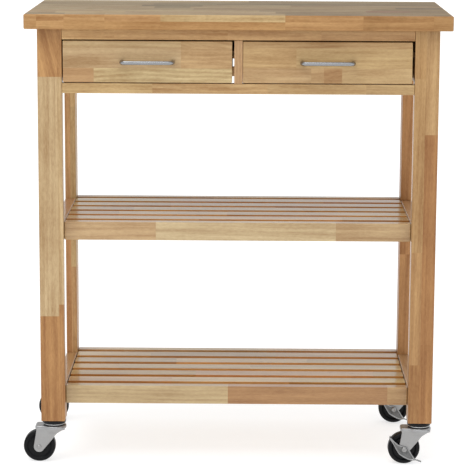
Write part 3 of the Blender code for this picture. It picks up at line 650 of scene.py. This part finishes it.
# ---- drawers
for side, s in (("left", -1), ("right", 1)):
    body = side + "_drawer"
    lo, hi = nb(side + "_drawer_front")
    if side == "left":
        staves = Staves("dfl", Z, [0.7688, 0.8060],
                        [[lo[X] + 0.058], [lo[X] + 0.2215], [lo[X] + 0.2215]],
                        [[(182, 141, 96), (201, 174, 127)], [(196, 164, 121), (188, 151, 105)], [(197, 166, 121), (190, 154, 108)]],
                        {(0, 0): (0.35, 0.02), (0, 1): (0.9, 0.11), (1, 0): (0.1, 0.02), (1, 1): (0.8, 0.12), (2, 0): (0.1, 0.02), (2, 1): (0.6, 0.10)})
    else:
        staves = Staves("dfr", Z, [0.7705, 0.8075],
                        [[lo[X] + 0.128, lo[X] + 0.152, lo[X] + 0.186], [lo[X] + 0.100], []],
                        [[(193, 158, 113), (190, 153, 107), (184, 143, 97), (195, 162, 115)], [(194, 158, 109), (194, 161, 112)], [(190, 154, 107)]],
                        {(0, 0): (0.3, 0.03), (0, 1): (0.4, 0.05), (0, 2): (0.6, 0.06), (0, 3): (0.4, -0.05), (1, 0): (0.7, 0.04), (1, 1): (0.3, 0.0), (2, 0): (0.6, 0.03)})
    wood(side + "_front_board", box_bm(lo, hi, 0.0016, 3), lo, hi, X, staves, WOOD_FRONT, body, side + "_drawer_front",
         slope=0.10)
    flo, fhi = lo, hi
    for label, e in (("left", -1), ("right", 1)):
        node = "%s_drawer_%s_side" % (side, label)
        lo, hi = nb(node)
        out, inn = (lo[0], hi[0]) if e < 0 else (hi[0], lo[0])
        g, w = -e * 0.006, -e * 0.004
        # cross section with the runner groove outside and the bottom's groove inside
        z0, z1 = lo[2], hi[2]
        ring = [(out, z0), (out, 0.7893), (out + g, 0.7893), (out + g, 0.8007), (out, 0.8007), (out, z1), (inn, z1), (inn, z0 + 0.0098),
                (inn - w, z0 + 0.0098), (inn - w, z0 + 0.0052), (inn, z0 + 0.0052), (inn, z0)]
        bm = profile_bm(ring, "Y", lo[1], hi[1], 0.0005, 2)
        wood("%s_box_%s_side" % (side, label), bm, lo, hi, Y, random_staves(node, lo, hi, Y, Z, 0.08, 0.5, PALE), WOOD_BOX, body, node)
    for part in ("bottom", "back"):
        node = "%s_drawer_%s" % (side, part)
        lo, hi = nb(node)
        plank("%s_box_%s" % (side, part), lo, hi, X, WOOD_BOX, body, node, palette=PALE, r=0.0004 if part == "bottom" else 0.0012,
              width=0.5 if part == "bottom" else 0.06, length=0.9)
    # bent bar handle
    lo, hi = nb(side + "_drawer_handle")
    r = 0.004
    zc = (lo[2] + hi[2]) / 2
    x0, x1 = lo[0] + r, hi[0] - r
    y_wood, y_bar = fhi[1] - 0.018, lo[1] + r
    bend = 0.0085
    path = [(x0, y_wood - 0.0002), (x0, y_bar + bend + 0.004)]
    for i in range(11):
        a = math.radians(90 * i / 10)
        path.append((x0 + bend * (1 - math.cos(a)), y_bar + bend * (1 - math.sin(a))))
    half = list(path)
    path += [(x0 + x1 - x, y) for x, y in reversed(half)]
    bm = bmesh.new()
    rings, n = [], 24
    for i, (px, py) in enumerate(path):
        a, b = path[max(i - 1, 0)], path[min(i + 1, len(path) - 1)]
        t = Vector((b[0] - a[0], b[1] - a[1], 0)).normalized()
        sd = Vector((-t.y, t.x, 0))
        flare = 1.0
        rings.append([bm.verts.new(Vector((px, py, zc)) + r * flare * 0.995 * (math.cos(2 * math.pi * k / n) * sd + math.sin(2 * math.pi * k / n) * Vector((0, 0, 1))))
                      for k in range(n)])
    for a, b in zip(rings, rings[1:]):
        for k in range(n):
            bm.faces.new((a[k], a[(k + 1) % n], b[(k + 1) % n], b[k]))
    bm.faces.new(rings[0])
    bm.faces.new(rings[-1])
    make(side + "_handle_bar", bm, NICKEL, body, side + "_drawer_handle", weighted=False)

# ================================================================ casters


def lathe_bm(profile, sides, origin, axis):
    bm = bmesh.new()
    rings = []
    for r, h in profile:
        if r == 0.0:
            rings.append([bm.verts.new((0, 0, h))])
        else:
            rings.append([bm.verts.new((r * math.cos(2 * math.pi * i / sides), r * math.sin(2 * math.pi * i / sides), h)) for i in range(sides)])
    pairs = list(zip(rings, rings[1:])) + ([(rings[-1], rings[0])] if profile[0][0] else [])
    for a, b in pairs:
        for i in range(sides):
            j = (i + 1) % sides
            if len(a) == 1:
                bm.faces.new((a[0], b[i], b[j]))
            elif len(b) == 1:
                bm.faces.new((a[i], a[j], b[0]))
            else:
                bm.faces.new((a[i], a[j], b[j], b[i]))
    turn = {"Z": Matrix.Identity(4), "Y": Matrix.Rotation(math.radians(-90), 4, "X")}[axis]
    bmesh.ops.transform(bm, matrix=Matrix.Translation(origin) @ turn, verts=bm.verts[:])
    bmesh.ops.recalc_face_normals(bm, faces=bm.faces[:])
    return bm


def sharp_by_angle(obj, deg=38):
    obj.data.set_sharp_from_angle(angle=math.radians(deg))


TRAIL, AXLE_Z = 0.0285, 0.031


def smooth_outline(points, steps=6):
    """Closed Catmull-Rom through the points."""
    out, n = [], len(points)
    for i in range(n):
        p0, p1, p2, p3 = (Vector(points[(i + k - 1) % n]) for k in range(4))
        for k in range(steps):
            t = k / steps
            out.append(tuple(0.5 * ((2 * p1) + (-p0 + p2) * t + (2 * p0 - 5 * p1 + 4 * p2 - p3) * t * t + (-p0 + 3 * p1 - 3 * p2 + p3) * t ** 3)))
    return out


def cheek_outline():
    pts = [(-0.0345, 0.0692), (-0.0335, 0.0640), (-0.0360, 0.0490), (-TRAIL - 0.0103, 0.0330)]
    for i in range(1, 15):
        a = math.radians(168 + (318 - 168) * i / 15)
        pts.append((-TRAIL + 0.0104 * math.cos(a), AXLE_Z + 0.0104 * math.sin(a)))
    pts += [(-0.0130, 0.0337), (-0.0070, 0.0410), (-0.0012, 0.0482), (0.0020, 0.0530), (0.0060, 0.0578), (0.0110, 0.0615), (0.0165, 0.0640), (0.0215, 0.0655), (0.0215, 0.0692)]
    return pts


LEVER = [(-0.0270, 0.0246), (-0.0190, 0.0164), (-0.0116, 0.0098), (-0.0040, 0.0076), (0.0031, 0.0060), (0.0072, 0.0036), (0.0120, -0.0040), (0.0166, -0.0118),
         (0.0212, -0.0180), (0.0270, -0.0214), (0.0336, -0.0238), (0.0328, -0.0256), (0.0226, -0.0217), (0.0147, -0.0222), (0.0067, -0.0197), (-0.0017, -0.0156),
         (-0.0098, -0.0098), (-0.0159, 0.0), (-0.0215, 0.0105), (-0.0290, 0.0215)]

PANEL = [(-0.0215, 0.0152), (-0.0130, 0.0078), (-0.0050, 0.0050), (0.0020, 0.0036), (0.0058, 0.0012), (0.0105, -0.0060), (0.0150, -0.0132), (0.0172, -0.0172),
         (0.0142, -0.0190), (0.0075, -0.0172), (0.0000, -0.0132), (-0.0080, -0.0076), (-0.0140, 0.0010), (-0.0185, 0.0090)]

for tag in ("front_left", "front_right", "rear_left", "rear_right"):
    lo, hi = nb(tag + "_caster_wheel")
    ax = Vector(((lo[0] + hi[0]) / 2, (lo[1] + hi[1]) / 2, (lo[2] + hi[2]) / 2))
    cx, cy = ax.x + TRAIL, ax.y
    braked = "right" in tag
    # mount: black cap under the leg, bright race ring below it, kingpin
    m_lo, m_hi = nb(tag + "_caster_mount")
    cap = [(0.0, 0.0837), (0.0218, 0.0837), (0.02255, 0.0833), (0.0228, 0.0826), (0.0228, 0.0792), (0.0226, 0.0781), (0.0219, 0.0774), (0.0205, 0.0772), (0.0, 0.0772)]
    obj = make(tag + "_cap", lathe_bm(cap, 64, (cx, cy, 0), "Z"), CAP, "frame", tag + "_caster_mount", weighted=False)
    sharp_by_angle(obj, 50)
    race = [(0.0, 0.0771), (0.0208, 0.0771), (0.0218, 0.0768), (0.0221, 0.0762), (0.0218, 0.0755), (0.0208, 0.0752), (0.0150, 0.0749), (0.0128, 0.0742), (0.0118, 0.0731),
            (0.0, 0.0731)]
    obj = make(tag + "_race", lathe_bm(race, 64, (cx, cy, 0), "Z"), BRIGHT, "frame", weighted=False)
    sharp_by_angle(obj, 50)
    # a black ring fills the open gap between the race ring and the crown: painted shade of that gap
    gap_shade_profile = [(0.0120, 0.0731), (0.0200, 0.0731), (0.0207, 0.0735), (0.0208, 0.0742), (0.0205, 0.0751), (0.0120, 0.0751)]
    obj = make(tag + "_gap_shade_ring", lathe_bm(gap_shade_profile, 64, (cx, cy, 0), "Z"), CAP, "frame", weighted=False)
    sharp_by_angle(obj, 50)
    pin = [(0.0, 0.0730), (0.0050, 0.0730), (0.0050, 0.0659), (0.0074, 0.0658), (0.0079, 0.0652), (0.0070, 0.0642), (0.0040, 0.0638), (0.0, 0.0638)]
    obj = make(tag + "_kingpin", lathe_bm(pin, 24, (cx, cy, 0), "Z"), ZINC, "frame", weighted=False)
    sharp_by_angle(obj, 40)
    stem = [(0.0, 0.1098), (0.0030, 0.1098), (0.0039, 0.1088)]
    z = 0.1085
    while z > 0.086:
        stem += [(0.0040, z), (0.0036, z - 0.0006)]
        z -= 0.00125
    stem += [(0.0040, 0.0840), (0.0, 0.0840)]
    obj = make(tag + "_stem", lathe_bm(stem, 20, (cx, cy, 0), "Z"), ZINC, "frame", weighted=False)

    # fork: pressed crown, round about the kingpin, with a tongue over the wheel
    body = tag + "_fork"
    bm = bmesh.new()
    R, back, half = 0.0235, -0.036, 0.0170
    reach = math.pi - math.asin(half / R)
    pts = [(R * math.cos(-reach + 2 * reach * i / 48), R * math.sin(-reach + 2 * reach * i / 48)) for i in range(49)]
    for oy, a0 in ((half - 0.006, 90), (-half + 0.006, 180)):
        for i in range(7):
            a = math.radians(a0 + 15 * i)
            pts.append((back + 0.006 + 0.006 * math.cos(a), oy + 0.006 * math.sin(a)))
    count = len(pts)
    normals = []
    for i in range(count):
        p, q = Vector(pts[i - 1]), Vector(pts[(i + 1) % count])
        d = (q - p).normalized()
        normals.append(Vector((d.y, -d.x)))

    def ring_of(shrink, z):
        return [bm.verts.new((cx + px - n.x * shrink, cy + py - n.y * shrink, z)) for (px, py), n in zip(pts, normals)]

    def hole_ring(r, z):
        return [bm.verts.new((cx + r * px / math.hypot(px, py), cy + r * py / math.hypot(px, py), z)) for px, py in pts]

    rings = [hole_ring(0.0056, 0.0723), hole_ring(0.0105, 0.0723), ring_of(0.0052, 0.0723), ring_of(0.0040, 0.0726), ring_of(0.0024, 0.0727), ring_of(0.0010, 0.0722),
             ring_of(0.0002, 0.0712), ring_of(0.0, 0.0695), ring_of(0.0, 0.0672), ring_of(0.0004, 0.0664), ring_of(0.0013, 0.0662), ring_of(0.0020, 0.0668),
             ring_of(0.0023, 0.0690), ring_of(0.0036, 0.0700), ring_of(0.0060, 0.0702), hole_ring(0.0056, 0.0702)]
    for a, b in zip(rings, rings[1:] + rings[:1]):
        for i in range(count):
            j = (i + 1) % count
            bm.faces.new((a[i], a[j], b[j], b[i]))
    obj = make(tag + "_crown", bm, PRESSED, body, tag + "_caster_fork", weighted=False)
    sharp_by_angle(obj, 55)
    for label, s in (("near", -1), ("far", 1)):
        ring = [(cx + u, v) for u, v in cheek_outline()]
        y_out, y_in = cy + s * 0.0169, cy + s * 0.0146
        bm = profile_bm(ring, "Y", min(y_out, y_in), max(y_out, y_in), 0.0)
        es = []
        for f in bm.faces:
            if abs(f.calc_center_median().y - y_out) < 1e-5:
                es = [e for e in f.edges if min(v.co.z for v in e.verts) < 0.0691]
        bmesh.ops.bevel(bm, geom=es, offset=0.0009, segments=3, affect="EDGES", profile=0.5, clamp_overlap=True)
        for k in range(22):
            bmesh.ops.bisect_plane(bm, geom=bm.verts[:] + bm.edges[:] + bm.faces[:], plane_co=(0, 0, 0.0381 + 0.0014 * k), plane_no=(0, 0, 1))
        for k in range(18):
            bmesh.ops.bisect_plane(bm, geom=bm.verts[:] + bm.edges[:] + bm.faces[:], plane_co=(cx - 0.0160 + 0.0022 * k, 0, 0), plane_no=(1, 0, 0))
        for v in bm.verts:
            # the upper part swells out to meet the round crown, and a soft crease runs down to the axle
            u = v.co.x - cx
            rim = math.sqrt(max(0.0229 ** 2 - u * u, 0.0))
            t = min(1.0, max(0.0, (v.co.z - 0.0545) / 0.0120))
            t = t * t * (3 - 2 * t)
            v.co.y += s * max(0.0, rim - 0.0169) * t
            crease = math.exp(-((u + 0.0160 + 0.25 * (0.066 - v.co.z)) / 0.0030) ** 2)
            v.co.y += s * 0.0008 * crease * min(1.0, max(0.0, (v.co.z - 0.040) / 0.014)) * (1.0 - t)
        make("%s_cheek_%s" % (tag, label), bm, ZINC, body, weighted=False)
        sharp_by_angle(bpy.data.objects["%s_cheek_%s" % (tag, label)], 40)
    # wheel
    w = 0.0110
    half = [(0.0034, 0.0140), (0.0062, 0.0140), (0.0070, 0.0136), (0.0074, 0.0095), (0.0085, 0.0086), (0.0105, 0.0084), (0.0118, 0.0090), (0.0185, 0.0090), (0.0198, 0.0083),
            (0.0212, 0.0083), (0.0224, 0.0092), (0.0236, 0.0106), (0.0246, w), (0.0272, w), (0.0290, w - 0.0007), (0.0302, w - 0.0020), (0.0308, w - 0.0038), (0.0310, w - 0.0060)]
    prof = half + [(r, -h) for r, h in reversed(half)]
    obj = make(tag + "_wheel_tyre", lathe_bm(prof, 72, ax, "Y"), RUBBER, tag + "_wheel", tag + "_caster_wheel", weighted=False)
    sharp_by_angle(obj, 40)
    # axle: domed rivet or nut heads
    near, far = (0.0193 if braked else 0.0173), 0.0173
    dome = [(0.0, 0.0013), (0.0014, 0.0013), (0.0020, 0.0016), (0.0030, 0.0015), (0.0040, 0.0009), (0.0046, 0.0002), (0.0046, 0.0)]
    crater = [(0.0, 0.0012), (0.0016, 0.0012), (0.0022, 0.0022), (0.0030, 0.0024), (0.0040, 0.0021), (0.0049, 0.0012), (0.0052, 0.0003), (0.0052, 0.0)]
    prof = [(r, -near - h) for r, h in (crater if braked else dome)] + [(0.0030, -near), (0.0030, far)] + [(r, far + h) for r, h in dome[::-1]]
    obj = make(tag + "_axle_rivet", lathe_bm(prof, 28, ax, "Y"), ZINC, body, tag + "_caster_axle", weighted=False)
    sharp_by_angle(obj, 50)
    if braked:
        ring = [(ax.x + u, ax.z + v) for u, v in LEVER]
        bm = profile_bm(ring, "Y", cy - 0.0190, cy - 0.0040, 0.0)
        faces = [f for f in bm.faces if abs(f.normal.y) > 0.9]
        edges = [e for f in faces for e in f.edges]
        bmesh.ops.bevel(bm, geom=edges, offset=0.0009, segments=3, affect="EDGES", profile=0.5, clamp_overlap=True)
        obj = make(tag + "_lever", bm, [LEVER_ZINC, DULL_SHADED_ZINC], tag + "_brake", tag + "_brake_lever")
        cut_bm = bmesh.new()
        bmesh.ops.create_cone(cut_bm, cap_ends=True, cap_tris=False, segments=72, radius1=0.0332, radius2=0.0332, depth=0.0348,
                              matrix=Matrix.Translation(ax) @ Matrix.Rotation(math.radians(90), 4, "X"))
        bmesh.ops.create_cone(cut_bm, cap_ends=True, cap_tris=False, segments=24, radius1=0.0034, radius2=0.0034, depth=0.06,
                              matrix=Matrix.Translation(ax) @ Matrix.Rotation(math.radians(90), 4, "X"))
        # shallow pressed panel inside a raised border, and the pedal tab cut narrower than the shoe tab
        panel = profile_bm([(ax.x + u, ax.z + v) for u, v in smooth_outline(PANEL, 3)], "Y", cy - 0.0230, cy - 0.0182, 0.0)
        trim = box_bm((ax.x + 0.010, cy - 0.0125, ax.z - 0.040), (ax.x + 0.050, cy + 0.010, ax.z), 0.0)
        for part in (panel, trim):
            tmp = bpy.data.meshes.new("cut_part")
            part.to_mesh(tmp)
            part.free()
            cut_bm.from_mesh(tmp)
            bpy.data.meshes.remove(tmp)
        m = bpy.data.meshes.new("cutter")
        cut_bm.to_mesh(m)
        cut_bm.free()
        cutter = bpy.data.objects.new(tag + "_cutter", m)
        COLL.objects.link(cutter)
        mod = obj.modifiers.new("hollow", "BOOLEAN")
        mod.operation, mod.solver, mod.object, mod.use_self = "DIFFERENCE", "EXACT", cutter, True
        obj.modifiers.move(obj.modifiers.find("hollow"), 0)
        dg = bpy.context.evaluated_depsgraph_get()
        done = bpy.data.meshes.new_from_object(obj.evaluated_get(dg))
        obj.modifiers.clear()
        old = obj.data
        obj.data = done
        bpy.data.meshes.remove(old)
        bpy.data.objects.remove(cutter)
        bpy.data.meshes.remove(m)
        for f in obj.data.polygons:
            # the floor of the pressed panel gets a rougher plating and a much darker colour, painted shade in the
            # pressed panel
            f.material_index = 1 if abs(f.center.y - (cy - 0.0182)) < 0.0001 and abs(f.normal.y) > 0.9 else 0
        sharp_by_angle(obj, 40)

# ================================================================ floor, light, camera
bm = bmesh.new()
bmesh.ops.create_grid(bm, x_segments=2, y_segments=2, size=60.0)
mesh = bpy.data.meshes.new("studio_floor")
bm.to_mesh(mesh)
bm.free()
floor = bpy.data.objects.new("studio_floor", mesh)
COLL.objects.link(floor)
t = Tree("floor_paper")
tc = t.node("ShaderNodeTexCoord")
n = t.noise(tc.outputs["Object"], 3.0, 3.0, 0.5)
t.put(t.bsdf.inputs["Base Color"], t.colour_mix(n, rgba((0.44, 0.445, 0.45)), rgba((0.47, 0.475, 0.48))))
# a light table: the floor glows a little by itself
t.bsdf.inputs["Emission Color"].default_value = (1.0, 1.0, 1.0, 1.0)
t.bsdf.inputs["Emission Strength"].default_value = 0.68
t.bsdf.inputs["Roughness"].default_value = 0.85
t.bsdf.inputs["Specular IOR Level"].default_value = 0.2
mesh.materials.append(t.mat)

world = bpy.data.worlds.new("studio")
bpy.context.scene.world = world
world.use_nodes = True
wn = world.node_tree
bg = wn.nodes["Background"]
tc = wn.nodes.new("ShaderNodeTexCoord")
sep = wn.nodes.new("ShaderNodeSeparateXYZ")
ramp = wn.nodes.new("ShaderNodeValToRGB")
wn.links.new(tc.outputs["Generated"], sep.inputs[0])
wn.links.new(sep.outputs["Z"], ramp.inputs["Fac"])
wn.links.new(ramp.outputs["Color"], bg.inputs["Color"])
e = ramp.color_ramp.elements
e[0].position, e[0].color = 0.0, (0.24, 0.24, 0.24, 1)
e[1].position, e[1].color = 1.0, (1.0, 1.0, 1.0, 1)
for pos, col in ((0.075, (0.27, 0.27, 0.27)), (0.16, (0.80, 0.83, 0.86)), (0.34, (0.93, 0.95, 0.97))):
    k = e.new(pos)
    k.color = (*col, 1)
bg.inputs["Strength"].default_value = 0.90
# what the camera sees past the floor's edge is plain and pale
lp = wn.nodes.new("ShaderNodeLightPath")
pale_bg = wn.nodes.new("ShaderNodeBackground")
pale_bg.inputs["Color"].default_value = (1.0, 1.0, 1.0, 1)
both = wn.nodes.new("ShaderNodeMixShader")
wn.links.new(lp.outputs["Is Camera Ray"], both.inputs[0])
wn.links.new(bg.outputs[0], both.inputs[1])
wn.links.new(pale_bg.outputs[0], both.inputs[2])
wn.links.new(both.outputs[0], wn.nodes["World Output"].inputs["Surface"])


def sun(name, direction, strength, angle, colour=(1, 1, 1)):
    d = bpy.data.lights.new(name, "SUN")
    d.energy, d.angle, d.color = strength, math.radians(angle), colour
    o = bpy.data.objects.new(name, d)
    o.rotation_mode = "QUATERNION"
    o.rotation_quaternion = Vector(direction).normalized().to_track_quat("-Z", "Y")
    COLL.objects.link(o)
    return o


sun("key_light", (0.30, 0.42, -1.0), 0.95, 40)
sun("fill_light", (-0.45, 0.80, -0.50), 0.18, 60)

scene = bpy.context.scene
scene.view_settings.view_transform = "Standard"
scene.view_settings.look = "None"
scene.view_settings.exposure = 0.0
scene.view_settings.gamma = 1.0

cam_data = bpy.data.cameras.new("camera")
cam = bpy.data.objects.new("camera", cam_data)
COLL.objects.link(cam)
scene.camera = cam
cam_data.sensor_width = 36.0
cam_data.sensor_fit = "AUTO"
cam_data.lens = 2074.9 * 36.0 / 470.0
cam_data.shift_x = 0.0
cam_data.shift_y = 0.0
cam_data.clip_start, cam_data.clip_end = 0.1, 200.0
yaw, pitch, roll = math.radians(0.353), math.radians(10.312), math.radians(-0.298)
fwd = Vector((-math.sin(yaw) * math.cos(pitch), math.cos(yaw) * math.cos(pitch), -math.sin(pitch)))
right = Vector((math.cos(yaw), math.sin(yaw), 0.0))
up = right.cross(fwd)
r2 = math.cos(roll) * right - math.sin(roll) * up
u2 = math.sin(roll) * right + math.cos(roll) * up
cam.matrix_world = Matrix(((r2.x, u2.x, -fwd.x, OX + 0.0194), (r2.y, u2.y, -fwd.y, OY - 4.0606), (r2.z, u2.z, -fwd.z, 1.1581), (0, 0, 0, 1)))
